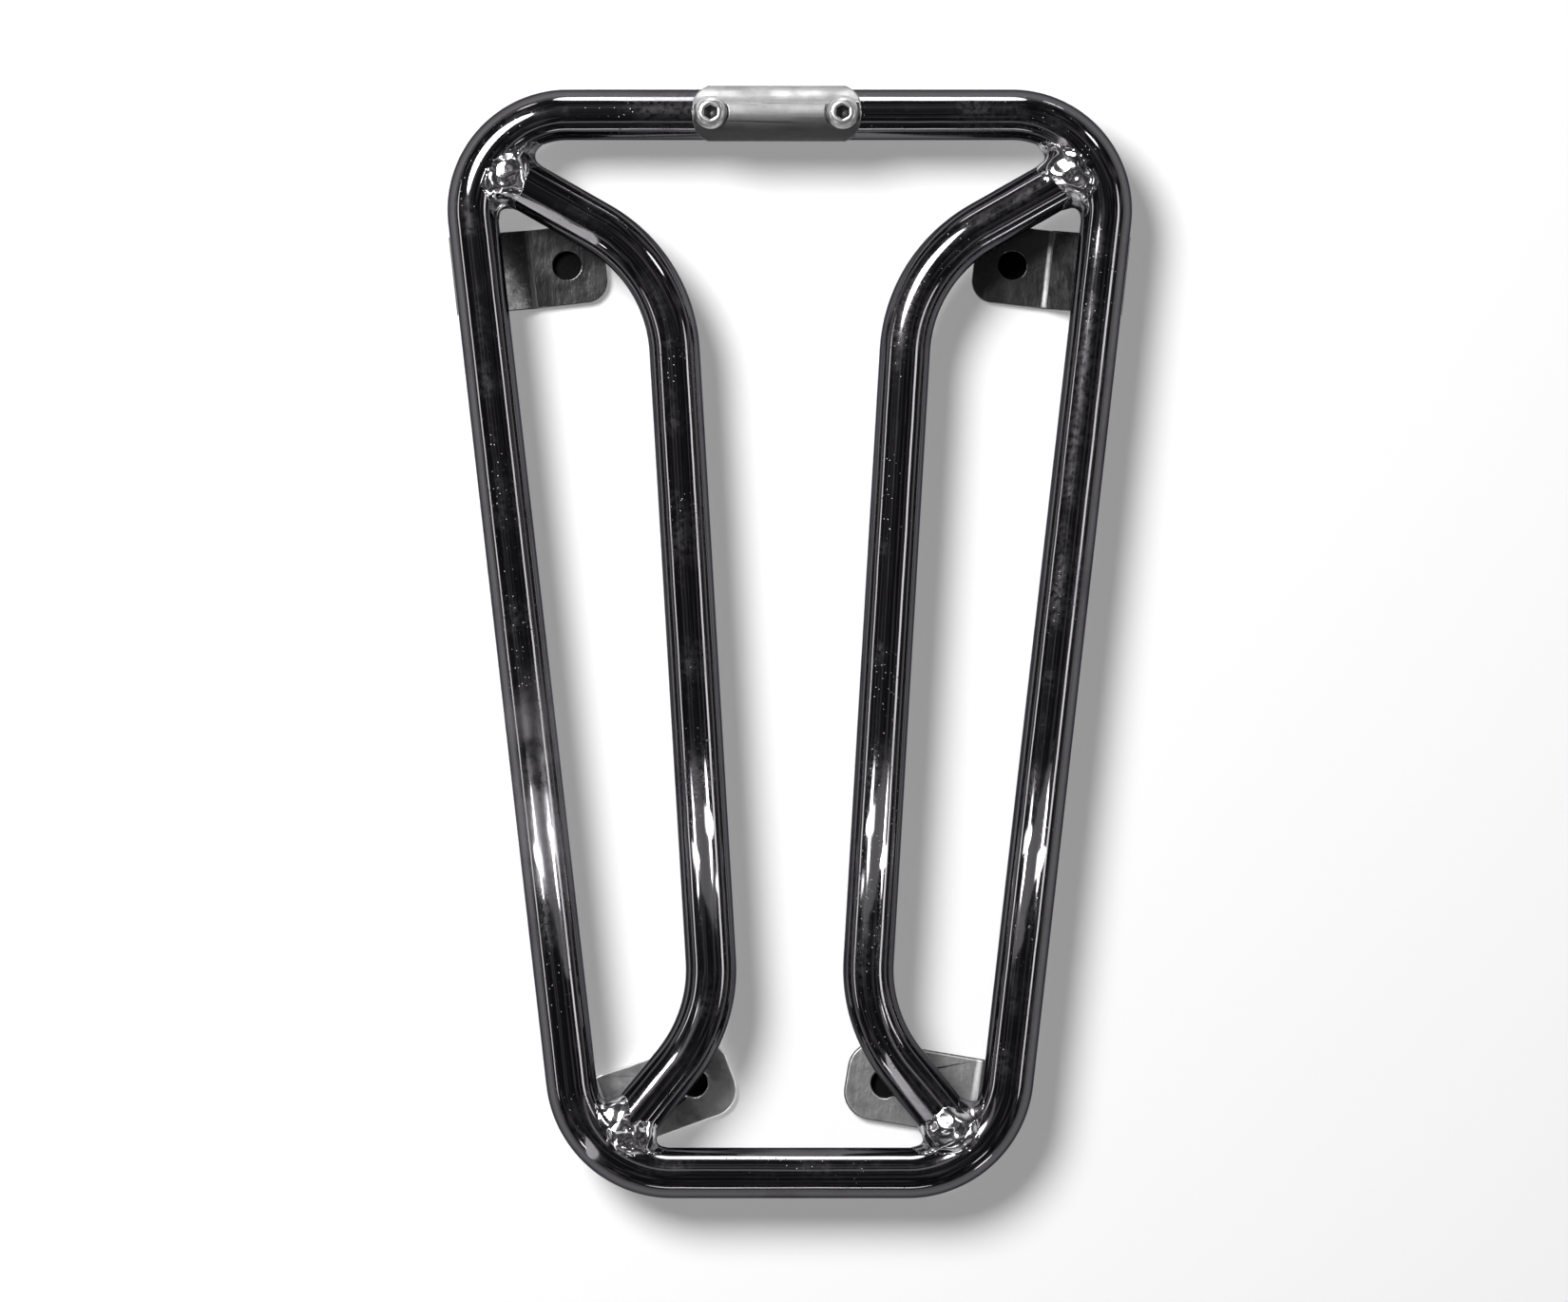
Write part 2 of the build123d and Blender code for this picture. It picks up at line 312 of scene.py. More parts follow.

# %% [markdown]
# ## Painted highlights on folds and rims
# The folds of the tabs get a painted highlight, a little duller too. Their rims get a painted highlight on
# the front left tab and a painted dark edge, painted shade, on the front right one. They could be picked face
# by face, but they are easier to find by how far they lean: level sheet looks straight up, a fold leans a
# little, and a rounded rim leans more. So each is a span of the upward part of the direction that the surface
# faces.

# %% Painted highlights on folds and rims
FOLD_HIGHLIGHT_FROM = (0.863, 0.885)
FOLD_HIGHLIGHT_TO = (0.992, 0.9995)
RIM_LEAN = (0.75, 0.85)
STAIN_COVERS = 0.6


def upward_part(net):
    """1 where a face looks straight up, 0 where it is upright."""
    facing = net.add("ShaderNodeNewGeometry", output="True Normal")
    return net.add("ShaderNodeSeparateXYZ", {}, {"Vector": facing}, output="Z")


def fold_highlight_share(net, place, upward, stain, beyond):
    """The painted highlight: 1 on folds further than this from the middle line of the rack, less where
    stained.
    """
    x = net.add("ShaderNodeSeparateXYZ", {}, {"Vector": place}, output="X")
    folds = net.rise(upward, *FOLD_HIGHLIGHT_FROM) * (1 - net.rise(upward, *FOLD_HIGHLIGHT_TO))
    return folds * (1 - STAIN_COVERS * stain) * net.rise(abs(x), beyond, beyond + MM)


print("folds are found by their lean")

# %% [markdown]
# ## Brushed metal
# The tabs are plated over sheet that was never polished, so they are satin and streaked, and the badge is
# an alloy with fine scratches along it. An anisotropic shader could stretch the highlights, but it shows no
# single scratch. So the lines are a noise that is stretched far in one direction, which the colour, the
# dullness and the bumps all follow, and a second noise adds stains.

# %% Brushed metal
def grey(level):
    """A grey colour for a socket."""
    return (level, level, level, 1)


LINE_SHARE = 0.25
STAIN_SHARE = 0.75
STAIN_SCALE = 110
STAIN_EDGE = (0.38, 0.68)
LINE_DULLS = 0.12
STAIN_DULLS = 0.12
FOLD_HIGHLIGHT_DULLS = 0.2
STAIN_DEPTH = 1.5
# painted shade: this grey darkens the badge plate towards its front edge
PAINTED_SHADE_GREY = grey(0.07)
PAINTED_SHADE_STRAY = 3 * MM


def brushed(name, colour, dark, dull, stretch, depth, painted_shade_span=None, fold_highlight=None, fold_highlight_beyond=0, rim=None):
    """Metal with fine lines along one direction and stains in patches.

    painted_shade_span is a span of Y, and a painted shade darkens the metal in front of it. fold_highlight is
    the colour of a painted highlight on folds further than fold_highlight_beyond from the middle line of the
    rack. rim is the colour painted on what leans more than a fold: light for a painted highlight,
    dark for painted shade.
    """
    material, net = new_finish(name)
    place = net.add("ShaderNodeTexCoord", output="Object")
    long_way = net.add("ShaderNodeMapping", {}, {"Vector": place, "Scale": stretch})
    lines = net.noise(long_way, 1, detail=4, roughness=0.7)
    cloud = net.noise(place, STAIN_SCALE, detail=5, roughness=0.6)
    stain = net.rise(cloud, *STAIN_EDGE)
    shade = net.mix(stain * STAIN_SHARE + lines * LINE_SHARE, colour, dark)
    rough = dull + LINE_DULLS * lines + STAIN_DULLS * stain
    # painted shade: darker in front of the span of Y
    if painted_shade_span:
        y = net.add("ShaderNodeSeparateXYZ", {}, {"Vector": place}, output="Y")
        shade = net.mix(net.rise(y + PAINTED_SHADE_STRAY * cloud, *painted_shade_span), PAINTED_SHADE_GREY, shade)
    if fold_highlight:
        upward = upward_part(net)
        # bare is the share of the painted highlight on the folds
        bare = fold_highlight_share(net, place, upward, stain, fold_highlight_beyond)
        shade = net.mix(bare, shade, fold_highlight)
        rough = rough + FOLD_HIGHLIGHT_DULLS * bare
        # painted rim: a painted highlight where its colour is light, a painted dark edge (painted shade)
        # where it is dark
        if rim:
            shade = net.mix(net.rise(upward, *RIM_LEAN), rim, shade)
    net.surface(net.metal(shade, rough, net.bump(lines + STAIN_DEPTH * cloud, depth)))
    return material


print("brushed recipe ready")

# %% [markdown]
# ## Finishes of the tabs, the badge and the screws
# The rear tabs get a dark grey as a shaded copy of the tab chrome, and the front ones a paler grey as a lit
# copy: painted shade and painted light. The front left one has a painted light rim and the front right one a
# painted dark one. One grey for all of them would be simpler, but each of these pieces has a shade of its own
# in the photograph. So one recipe gives them all, with other greys and other directions of the lines.

# %% Brushed finishes
LINES_ALONG_Y = (300, 60, 300)
LINES_ALONG_X = (60, 1500, 1500)
NO_LINES = (500, 500, 500)
# the front tabs are a lit copy of the tab chrome: painted light
LIT_FRONT_TAB = {
    "colour": grey(0.52), "dark": grey(0.17), "dull": 0.28, "stretch": LINES_ALONG_Y, "depth": 0.12 * MM,
}

# the rear tabs are a darker, shaded copy of the tab chrome: painted shade, with painted highlights on their
# outer folds
rear_tab_shaded_chrome = brushed(
    "rear_tab_shaded_chrome", grey(0.16), grey(0.06), dull=0.13, stretch=LINES_ALONG_Y, depth=0.12 * MM,
    fold_highlight=grey(0.19), fold_highlight_beyond=77 * MM)
# both front tabs get painted fold highlights; the left rim gets a painted highlight, the right rim a painted
# dark edge
front_left_lit_chrome = brushed("front_left_lit_chrome", **LIT_FRONT_TAB, fold_highlight=grey(0.45), rim=grey(0.98))
front_right_lit_chrome = brushed("front_right_lit_chrome", **LIT_FRONT_TAB, fold_highlight=grey(0.4), rim=grey(0.1))
# the badge plate gets painted shade towards its front edge
badge_alloy = brushed(
    "badge_alloy", grey(0.3), grey(0.2), dull=0.34, stretch=LINES_ALONG_X, depth=0.04 * MM,
    painted_shade_span=(161.5 * MM, 170.5 * MM))
screw_steel = brushed("screw_steel", grey(0.56), grey(0.3), dull=0.22, stretch=NO_LINES, depth=0.02 * MM)
# painted shade for the hollow of the screw sockets
socket_grime = brushed("socket_grime", grey(0.06), grey(0.02), dull=0.35, stretch=NO_LINES, depth=0.03 * MM)
print("made", len(bpy.data.materials), "materials so far")

# %% [markdown]
# ## Faces between rings
# Most pieces of the rack are round: a tube is a row of equal rings along a line, and a screw a row of rings
# of different size along an axis. A curve with a round section could make a tube, but not its coped end,
# and a lathe could make a screw, but not its hexagon socket. So one helper joins any rings of points to a
# skin of quads.

# %% Faces between rings
def ring_faces(ring_count, ring_size, closed):
    """Quads between neighbouring rings. Closed rings go back to the first, others get a cap at each end."""
    faces = []
    for ring in range(ring_count if closed else ring_count - 1):
        here = ring * ring_size
        there = (ring + 1) % ring_count * ring_size
        for j in range(ring_size):
            after = (j + 1) % ring_size
            faces.append((here + j, here + after, there + after, there + j))
    if not closed:
        first, last = range(ring_size), range((ring_count - 1) * ring_size, ring_count * ring_size)
        faces += [tuple(reversed(first)), tuple(last)]
    return faces


print("a box is two rings of four points with", len(ring_faces(2, 4, False)), "faces")

# %% [markdown]
# ## Pieces that stand for solids
# Each new mesh takes the place of one solid of the engineering model, hangs under the root body and has a
# slot for its finish. Its faces could be left flat, but chrome shows every flat, so they are all shaded
# smooth.
# Only the edges of end caps are marked as sharp, because the shading of a cap would spill onto the side of
# the tube.

# %% Piece from points and faces
QUAD_CORNERS = 4


def new_piece(name, points, faces, finish, stands_for):
    """A smooth mesh that replaces a solid of the engineering model. The edges of its end caps stay sharp."""
    mesh = bpy.data.meshes.new(name)
    mesh.from_pydata([tuple(point) for point in points], [], [tuple(face) for face in faces])
    mesh.polygons.foreach_set("use_smooth", [True] * len(mesh.polygons))
    for cap in [face for face in mesh.polygons if len(face.vertices) > QUAD_CORNERS]:
        for corner in cap.loop_indices:
            mesh.edges[mesh.loops[corner].edge_index].use_edge_sharp = True
    mesh.materials.append(finish)
    piece = bpy.data.objects.new(name, mesh)
    bpy.context.scene.collection.objects.link(piece)
    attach(piece, "root")
    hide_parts(stands_for)
    return piece


print("piece helper ready")

# %% [markdown]
# ## Bends and runs
# A tube's centre line lies at one height and is made of straight runs and round bends. A smooth curve
# through a few points would look alike, but its bends wouldn't be round. So each bend is worked out from
# the sharp corner and the bend radius, as a tube bender is set. Rings follow every two degrees, because
# chrome shows coarser ones.

# %% Bends and runs
BEND_STEP = radians(2)
LEAST_STEPS = 2
RUN_STEP = 8 * MM


def turned(way, angle):
    """A direction, turned to the left by an angle."""
    return Vector((way.x * cos(angle) - way.y * sin(angle), way.x * sin(angle) + way.y * cos(angle)))


def bend(before, corner, after, radius):
    """Points and directions round the bend at one corner."""
    way_in = (corner - before).normalized()
    way_out = (after - corner).normalized()
    turn = -way_in.angle_signed(way_out)
    side = 1 if turn > 0 else -1
    start = corner - way_in * (radius * tan(abs(turn) / 2))
    centre = start + Vector((-way_in.y, way_in.x)) * radius * side
    steps = max(LEAST_STEPS, round(abs(turn) / BEND_STEP))
    stations = []
    for step in range(steps + 1):
        way = turned(way_in, turn * step / steps)
        stations.append((centre + Vector((way.y, -way.x)) * radius * side, way))
    return stations


def run(start, end):
    """Points and directions along a straight run, without its ends."""
    way = (end - start).normalized()
    steps = max(1, round((end - start).length / RUN_STEP))
    return [(start.lerp(end, step / steps), way) for step in range(1, steps)]


print("a run of 40 mm has", len(run(Vector((0, 0)), Vector((40 * MM, 0)))), "rings between its ends")

# %% [markdown]
# ## Rings round a centre line
# The rack's tube is 16 mm thick. Its rings have many points, so that its outline is round even up close.
# They could be made by a modifier along a curve, but the ends of the rails have to be moved point by point
# later on, and plain points allow that.

# %% Rings round a centre line
TUBE_RADIUS = 8 * MM
RING = 96
UP = np.array([0, 0, 1])


def tube_rings(stations):
    """A ring of points round each station: the start is on top, and a quarter turn is to the right."""
    turn = np.arange(RING) * 2 * pi / RING
    rings = []
    for point, way in stations:
        right = np.array([way.y, -way.x, 0])
        middle = np.array([point.x, point.y, AXIS_HEIGHT])
        rings.append(middle + TUBE_RADIUS * (np.outer(np.sin(turn), right) + np.outer(np.cos(turn), UP)))
    return rings


print("rings of", RING, "points,", round(2 * TUBE_RADIUS / MM), "mm across")

# %% [markdown]
# ## The hoop
# The hoop is one closed tube, wider at the badge end, with tighter bends at the rear than at the front. The
# solid of the engineering model has this form too, but in facets that chrome would show. So it is drawn
# again from its four sharp corners and its bend radii, with close rings.

# %% Hoop
HOOP_CORNERS = [Vector(corner) * MM for corner in ((103.7, 167), (-103.7, 167), (-65.7, -167), (65.7, -167))]
HOOP_BENDS = [30 * MM, 30 * MM, 32 * MM, 32 * MM]

hoop_bends = []
for i, corner in enumerate(HOOP_CORNERS):
    following = HOOP_CORNERS[(i + 1) % len(HOOP_CORNERS)]
    hoop_bends.append(bend(HOOP_CORNERS[i - 1], corner, following, HOOP_BENDS[i]))
hoop_stations = []
for i, stations in enumerate(hoop_bends):
    following = hoop_bends[(i + 1) % len(hoop_bends)]
    hoop_stations += stations + run(stations[-1][0], following[0][0])
hoop_points = np.concatenate(tube_rings(hoop_stations))
hoop_faces = ring_faces(len(hoop_stations), RING, True)
new_piece("hoop_tube", hoop_points, hoop_faces, tube_chrome, "outer_hoop")
print("hoop of", len(hoop_stations), "rings")

# %% [markdown]
# ## Coped ends
# Each rail runs from the rear bend of the hoop to the front bend on its side, and aims at the points that
# the two bends turn about. There its end is cut to fit the hoop, which a welder calls coping. A Boolean cut
# could do it, but it leaves long thin faces that spoil the chrome. So each point of the end ring slides
# along the rail until it meets the hoop.

# %% Coping
def bend_middle(i):
    """The point that the hoop's bend i turns about, and the bend's radius."""
    first, way = hoop_bends[i][0]
    return first + Vector((-way.y, way.x)) * HOOP_BENDS[i], HOOP_BENDS[i]


def cope(ring, middle, radius, way):
    """The end ring of a rail, moved along it onto the hoop."""
    out = np.array([way.x, way.y, 0])
    start = np.array([middle.x, middle.y, AXIS_HEIGHT])
    coped = []
    for point in ring:
        offset = point - start
        offset = offset - out * (offset @ out)
        across = np.hypot(offset[0], offset[1])
        reach = radius - sqrt(max(TUBE_RADIUS**2 - offset[2] ** 2, 0))
        coped.append(start + offset + out * sqrt(reach**2 - across**2))
    return np.array(coped)


print("first bend turns about", [round(x / MM, 1) for x in bend_middle(0)[0]])

# %% [markdown]
# ## The rails
# The two rails mirror each other, and each has two wide bends. Mirroring one mesh would do, but the same
# steps with a side of 1 or -1 also say where each end meets its bend of the hoop, and the welds need that.

# %% Rails
RAIL_CORNERS = [Vector(corner) * MM for corner in ((37.9, 118.8), (23.8, -118.5))]
RAIL_BEND = 48 * MM
HOOP_BENDS_AT_RAIL = {1: (0, 3), -1: (1, 2)}


def rail(side):
    """The rings of the rail on one side, 1 for right and -1 for left, and its two joints with the hoop."""
    rear_end, front_end = [bend_middle(i) for i in HOOP_BENDS_AT_RAIL[side]]
    rear_corner, front_corner = [Vector((side * corner.x, corner.y)) for corner in RAIL_CORNERS]
    rear_bend = bend(rear_end[0], rear_corner, front_corner, RAIL_BEND)
    front_bend = bend(rear_corner, front_corner, front_end[0], RAIL_BEND)
    rear_way, front_way = rear_bend[0][1], front_bend[-1][1]
    stations = [(rear_end[0], rear_way), *run(rear_end[0], rear_bend[0][0]), *rear_bend]
    stations += run(rear_bend[-1][0], front_bend[0][0])
    stations += [*front_bend, *run(front_bend[-1][0], front_end[0]), (front_end[0], front_way)]
    ends = [(*rear_end, -rear_way), (*front_end, front_way)]
    rings = tube_rings(stations)
    return [cope(rings[0], *ends[0]), *rings, cope(rings[-1], *ends[1])], ends


joints = {}
for side, name in ((1, "right"), (-1, "left")):
    rings, joints[name] = rail(side)
    faces = ring_faces(len(rings), RING, False)
    new_piece(f"{name}_rail_tube", np.concatenate(rings), faces, tube_chrome, f"{name}_rail")
    print(name, "rail of", len(rings), "rings")

# %% [markdown]
# ## Shapes as distances
# Weld metal flows: it fills the crotch between two tubes with a hollow curve and freezes in lumps.
# Sculpting could give that, but not from a script, and rings can't follow it. It is easy to say with
# distances, though. A field gives the distance to a surface for every point of a grid, and a soft minimum
# of two fields melts two shapes into one.

# %% Soft minimum and grid
def melt(first, second, reach):
    """The smaller of two distances, with a soft change-over that is this wide."""
    share = np.clip(1 - np.abs(first - second) / reach, 0, 1)
    return np.minimum(first, second) - share**2 * reach / 4


def grid(low, high, pitch):
    """The points of a grid between two corners."""
    axes = [np.arange(a, b, pitch) for a, b in zip(low, high)]
    return np.stack(np.meshgrid(*axes, indexing="ij"), -1)


print("two surfaces that cross melt to a distance of", float(melt(np.float64(0), np.float64(0), 1)))

# %% [markdown]
# ## A skin round a field
# A field becomes a mesh where it passes through zero. Blender's metaballs do something like it, but they
# have no torus. So this skin is laid cell by cell: each cell of the grid that the surface crosses gets one
# point, in the middle of where the surface meets the cell's edges, and a quad joins the four cells round
# each crossed edge.

# %% Crossings and quads
def crossings(points, field, order):
    """Which edges of the grid the surface crosses along one axis, where, and which of those start inside."""
    value = field.transpose(order)
    place = points.transpose(*order, 3)
    inside = value[:-1] < 0
    crossed = inside != (value[1:] < 0)
    share = np.where(crossed, value[:-1] / np.where(crossed, value[:-1] - value[1:], 1), 0)
    return crossed, place[:-1] + (place[1:] - place[:-1]) * share[..., None], inside


def edge_quads(index, order, crossed, inside):
    """A quad through the four cells round each crossed edge, turned to face outwards."""
    ids = index.transpose(order)
    i, j, k = np.nonzero(crossed[:, 1:-1, 1:-1])
    quads = np.stack([ids[i, j, k], ids[i, j + 1, k], ids[i, j + 1, k + 1], ids[i, j, k + 1]], 1)
    turned_in = ~inside[i, j + 1, k + 1]
    quads[turned_in] = quads[turned_in][:, ::-1]
    return quads


print("crossing helpers ready")

# %% [markdown]
# ## One part without crumbs
# Where weld metal thins out, a grid can leave crumbs that hang in the air, which a real weld doesn't have.
# Loose parts could be split off and deleted in edit mode. Here each point takes over the lowest number
# among its neighbours until nothing changes, so points of one part share a number, and the largest part
# stays.

# %% Largest part and skin
AXIS_ORDERS = ((0, 1, 2), (1, 2, 0), (2, 0, 1))
CELL_CORNERS = ((0, 0), (0, 1), (1, 0), (1, 1))


def largest_part(points, faces):
    """The largest connected part of a mesh of quads."""
    label = np.arange(len(points))
    while True:
        lower = label.copy()
        np.minimum.at(lower, faces.ravel(), np.repeat(label[faces].min(1), QUAD_CORNERS))
        lower = lower[lower]
        if (lower == label).all():
            break
        label = lower
    part = label[faces[:, 0]]
    used, faces = np.unique(faces[part == np.bincount(part).argmax()], return_inverse=True)
    return points[used], faces.reshape(-1, QUAD_CORNERS)


def skin(points, field):
    """The points and quads of the surface where the field is zero."""
    cells = tuple(n - 1 for n in field.shape)
    total, count = np.zeros((*cells, 3)), np.zeros(cells)
    edges = []
    for order in AXIS_ORDERS:
        crossed, meet, inside = crossings(points, field, order)
        edges.append((order, crossed, inside))
        total_view, count_view = total.transpose(*order, 3), count.transpose(order)
        for a, b in CELL_CORNERS:
            part = (slice(None), slice(a, a + cells[order[1]]), slice(b, b + cells[order[2]]))
            total_view += meet[part] * crossed[part][..., None]
            count_view += crossed[part]
    used = count > 0
    index = np.full(cells, -1)
    index[used] = np.arange(used.sum())
    faces = np.concatenate([edge_quads(index, *edge) for edge in edges])
    return largest_part(total[used] / count[used][:, None], faces)


print("skin helper ready")

# %% [markdown]
# ## Fillets in the crotches
# Each rail end is welded all round to the hoop. The hoop's bend is a torus and the rail a round bar, and
# both have a plain distance, so no mesh has to be measured. The two melt together in the crotches, which
# gives the hollow fillet. Further out, over the hoop's own bend, the melting fades away, so that the hoop
# keeps its form.

# %% Weld fields
WELD_MELT = 7.5 * MM
WELD_LIMITS = (2.5 * MM, 6 * MM)
LEAST_MELT = 0.02


def weld_fields(points, middle, radius, way):
    """Distances to the bare tubes, to the tubes with their fillet, and from the middle of the bend."""
    x, y, z = points[..., 0] - middle.x, points[..., 1] - middle.y, points[..., 2] - AXIS_HEIGHT
    across = x * way.y - y * way.x
    out = np.hypot(x, y)
    to_hoop = np.hypot(out - radius, z) - TUBE_RADIUS
    to_rail = np.hypot(across, z) - TUBE_RADIUS
    low, high = WELD_LIMITS
    reach = WELD_MELT * np.clip((radius - out - low) / (high - low), LEAST_MELT, 1)
    return np.minimum(to_hoop, to_rail), melt(to_hoop, to_rail, reach), out


print("fillets melt over up to", WELD_MELT / MM, "mm")

# %% [markdown]
# ## Lumps over the seam
# A welder lays metal in drops, and they freeze as lumps over the seam. Equal balls in a row would look like
# a necklace. So the drops fall by chance, within bounds: how far in from the hoop they lie, how big they
# are, how far they stand out of the tube and how far round it they sit. About one in three is below the
# tube.

# %% Lump places
LUMPS = 13
LUMPS_PER_LOW_ONE = 3
LUMP_INWARD = (4.5 * MM, 13 * MM)
LUMP_SIZE = (3 * MM, 5.5 * MM)
LUMP_STAND = (1 * MM, 1.9 * MM)
LUMP_TILT = radians(62)


def lump_places(chance, middle, radius, way):
    """Centres and sizes of the lumps, on top and below."""
    lumps = []
    for i in range(LUMPS):
        side = 1 if i % LUMPS_PER_LOW_ONE else -1
        inward = chance.uniform(*LUMP_INWARD)
        size = chance.uniform(*LUMP_SIZE)
        depth = TUBE_RADIUS - size + chance.uniform(*LUMP_STAND)
        tilt = chance.uniform(-LUMP_TILT, LUMP_TILT)
        across, rise = depth * sin(tilt), depth * cos(tilt)
        along = sqrt((radius - inward) ** 2 - across**2)
        x = middle.x + along * way.x + across * way.y
        y = middle.y + along * way.y - across * way.x
        lumps.append((x, y, AXIS_HEIGHT + side * rise, size))
    return lumps


print(LUMPS, "lumps for each end of a rail")

# %% [markdown]
# ## Ground and uneven metal
# A grinder took the crowns off the upper lumps, and their flats catch the light of the big lamp. Bevelled
# discs could be laid on, but they would sit apart. So each upper ball is cut by a plane before it melts in,
# and the planes face half-way to the lamp, with a little swing. A few slow waves make the rest uneven, as
# frozen metal is.

# %% Ground lumps and waves
FLAT_DEPTH = 0.9 * MM
FLAT_FACING = (-0.205, 0.202, 0.957)
FLAT_SWING = 0.12
WAVES = 5
WAVE_LENGTH = 5.5 * MM
WAVE_HEIGHT = 0.075 * MM


def ground_lump(chance, points, x, y, height, size):
    """Distances to one lump. On top of the tube its crown is ground off."""
    offset = points - np.array([x, y, height])
    lump = np.sqrt((offset**2).sum(-1)) - size
    if height > AXIS_HEIGHT:
        facing = np.array(FLAT_FACING) + [chance.uniform(-FLAT_SWING, FLAT_SWING) for _ in range(3)]
        lump = np.maximum(lump, offset @ (facing / np.linalg.norm(facing)) - size + FLAT_DEPTH)
    return lump


def slow_waves(chance, points):
    """The height of a few waves that run in chance directions through space."""
    wave = np.zeros(points.shape[:3])
    for _ in range(WAVES):
        course = np.array([chance.gauss(0, 1) for _ in range(3)])
        turn = points @ (course / np.linalg.norm(course)) * (2 * pi / WAVE_LENGTH)
        wave += WAVE_HEIGHT * np.sin(turn + chance.uniform(0, 2 * pi))
    return wave


print("flats face", FLAT_FACING)

# %% [markdown]
# ## Welds at the rails
# The weld metal is what stands off the bare tubes, with a root that reaches a millimetre into them and ends
# at the hoop's centre line. It could be one mesh with the tubes, but the engineering model has it as a
# piece of its own. The waves set in only where the metal stands off, so its rim stays on the tubes. Lumps
# get the bright copy of the chrome as a painted highlight and fillets the darker one as painted shade, so
# each face gets the finish of its kind.

# %% Weld metal
WELD_PITCH = 0.4 * MM
WELD_INWARD = 9 * MM
WELD_BOX = np.array([20, 20, 11]) * MM
LUMP_MELT = 2.4 * MM
WAVE_ONSET = 0.5 * MM
WELD_ROOT = 1 * MM
STAND_OFF = 0.03 * MM
LUMP_LINE = 0.12 * MM


def rail_weld(chance, middle, radius, way):
    """The weld metal at one end of a rail, and which of its faces are lumps."""
    inward = radius - WELD_INWARD
    centre = np.array([middle.x + way.x * inward, middle.y + way.y * inward, AXIS_HEIGHT])
    points = grid(centre - WELD_BOX, centre + WELD_BOX, WELD_PITCH)
    bare, field, out = weld_fields(points, middle, radius, way)
    for lump in lump_places(chance, middle, radius, way):
        field = melt(field, ground_lump(chance, points, *lump), LUMP_MELT)
    field = field + slow_waves(chance, points) * np.clip((bare - field) / WAVE_ONSET, 0, 1)
    metal = np.maximum.reduce([field, -bare - WELD_ROOT, field - bare + STAND_OFF, out - radius])
    points, faces = skin(points, metal)
    lumpy = weld_fields(points, middle, radius, way)[1] > LUMP_LINE
    return points, faces, lumpy[faces].any(1)


for name, ends in joints.items():
    chance = random.Random(f"{name} welds")
    rear, front = [rail_weld(chance, *end) for end in ends]
    points = np.concatenate([rear[0], front[0]])
    faces = np.concatenate([rear[1], front[1] + len(rear[0])])
    stands_for = f"{name}_rail_welds"
    # fillets get the darker, painted-shade copy of the weld chrome, lumps the bright, painted-highlight copy
    weld = new_piece(f"{name}_rail_weld_metal", points, faces, fillet_shaded_chrome, stands_for)
    weld.data.materials.append(lump_lit_chrome)
    lumpy = np.concatenate([rear[2], front[2]])
    weld.data.polygons.foreach_set("material_index", lumpy.astype("int32"))
    print(name, "rail welds of", len(points), "points")

# %% [markdown]
# ## Welds at the tabs
# A short bead joins each tab to the inside of the tube. Its solid could be bevelled, but a bead is a row of
# frozen drops. So the solid only says where the bead lies, with its longest direction as the bead's line,
# and a row of balls of uneven size along that line melts together to the bead.

# %% Tab welds
BEAD_BALLS = 9
BEAD_SIZE = 1.5 * MM
BEAD_UNEVEN = (0.85, 1.15)
BEAD_STRAY = 0.25 * MM
BEAD_MELT = 1.5 * MM
BEAD_MARGIN = 3 * MM
BEAD_PITCH = 0.35 * MM
FAR_AWAY = 1.0


def tab_bead(chance, solid):
    """The points and quads of a row of melted balls along the solid of a bead."""
    low, high = solid.min(0), solid.max(0)
    middle = (low + high) / 2
    line = np.linalg.svd(solid - solid.mean(0), full_matrices=False)[2][0]
    half_length = np.abs((solid - middle) @ line).max() - BEAD_SIZE
    points = grid(low - BEAD_MARGIN, high + BEAD_MARGIN, BEAD_PITCH)
    field = np.full(points.shape[:3], FAR_AWAY)
    for step in range(BEAD_BALLS):
        shift = (2 * step / (BEAD_BALLS - 1) - 1) * half_length
        stray = np.array([chance.uniform(-BEAD_STRAY, BEAD_STRAY) for _ in range(3)])
        size = BEAD_SIZE * chance.uniform(*BEAD_UNEVEN)
        offset = points - (middle + line * shift + stray)
        field = melt(field, np.sqrt((offset**2).sum(-1)) - size, BEAD_MELT)
    return skin(points, field)


for place in ("rear_left", "rear_right", "front_left", "front_right"):
    solid = np.array([vertex.co for vertex in solids[f"{place}_tab_weld"].data.vertices])
    points, faces = tab_bead(random.Random(place), solid)
    # beads get the bright, painted-highlight copy of the weld chrome
    new_piece(f"{place}_tab_bead", points, faces, lump_lit_chrome, f"{place}_tab_weld")
    print(place, "bead of", len(points), "points")

# %% [markdown]
# ## The form of a screw
# The badge is held by two button-head screws with a hexagon socket. The socket could be cut with a Boolean,
# but that breaks the smooth dome. A head is turned on a lathe, so its rings are circles. The rings of the
# socket are hexagons with the same number of points, so the same skin joins them all.

# %% Screw rings
SCREW_RING = 72
SHANK_RADIUS = 3 * MM
SHANK_LENGTH = 8 * MM
HEAD_RADIUS = 5.25 * MM
HEAD_HEIGHT = 3.3 * MM
HEAD_EDGE = ((0.93, 0), (0.99, 0.12 * MM), (1, 0.4 * MM))
CROWN_RADIUS = 2.9 * MM
DOME_STEPS = 12
DOME_FULLNESS = 0.9
SOCKET_WIDTH = 4 * MM
SOCKET_LIP = ((1.1, 0), (1.02, 0.12 * MM), (1.0, 0.3 * MM))
SOCKET_FLOOR = ((1.0, 2.0 * MM), (0.97, 2.1 * MM), (0.05, 2.5 * MM))


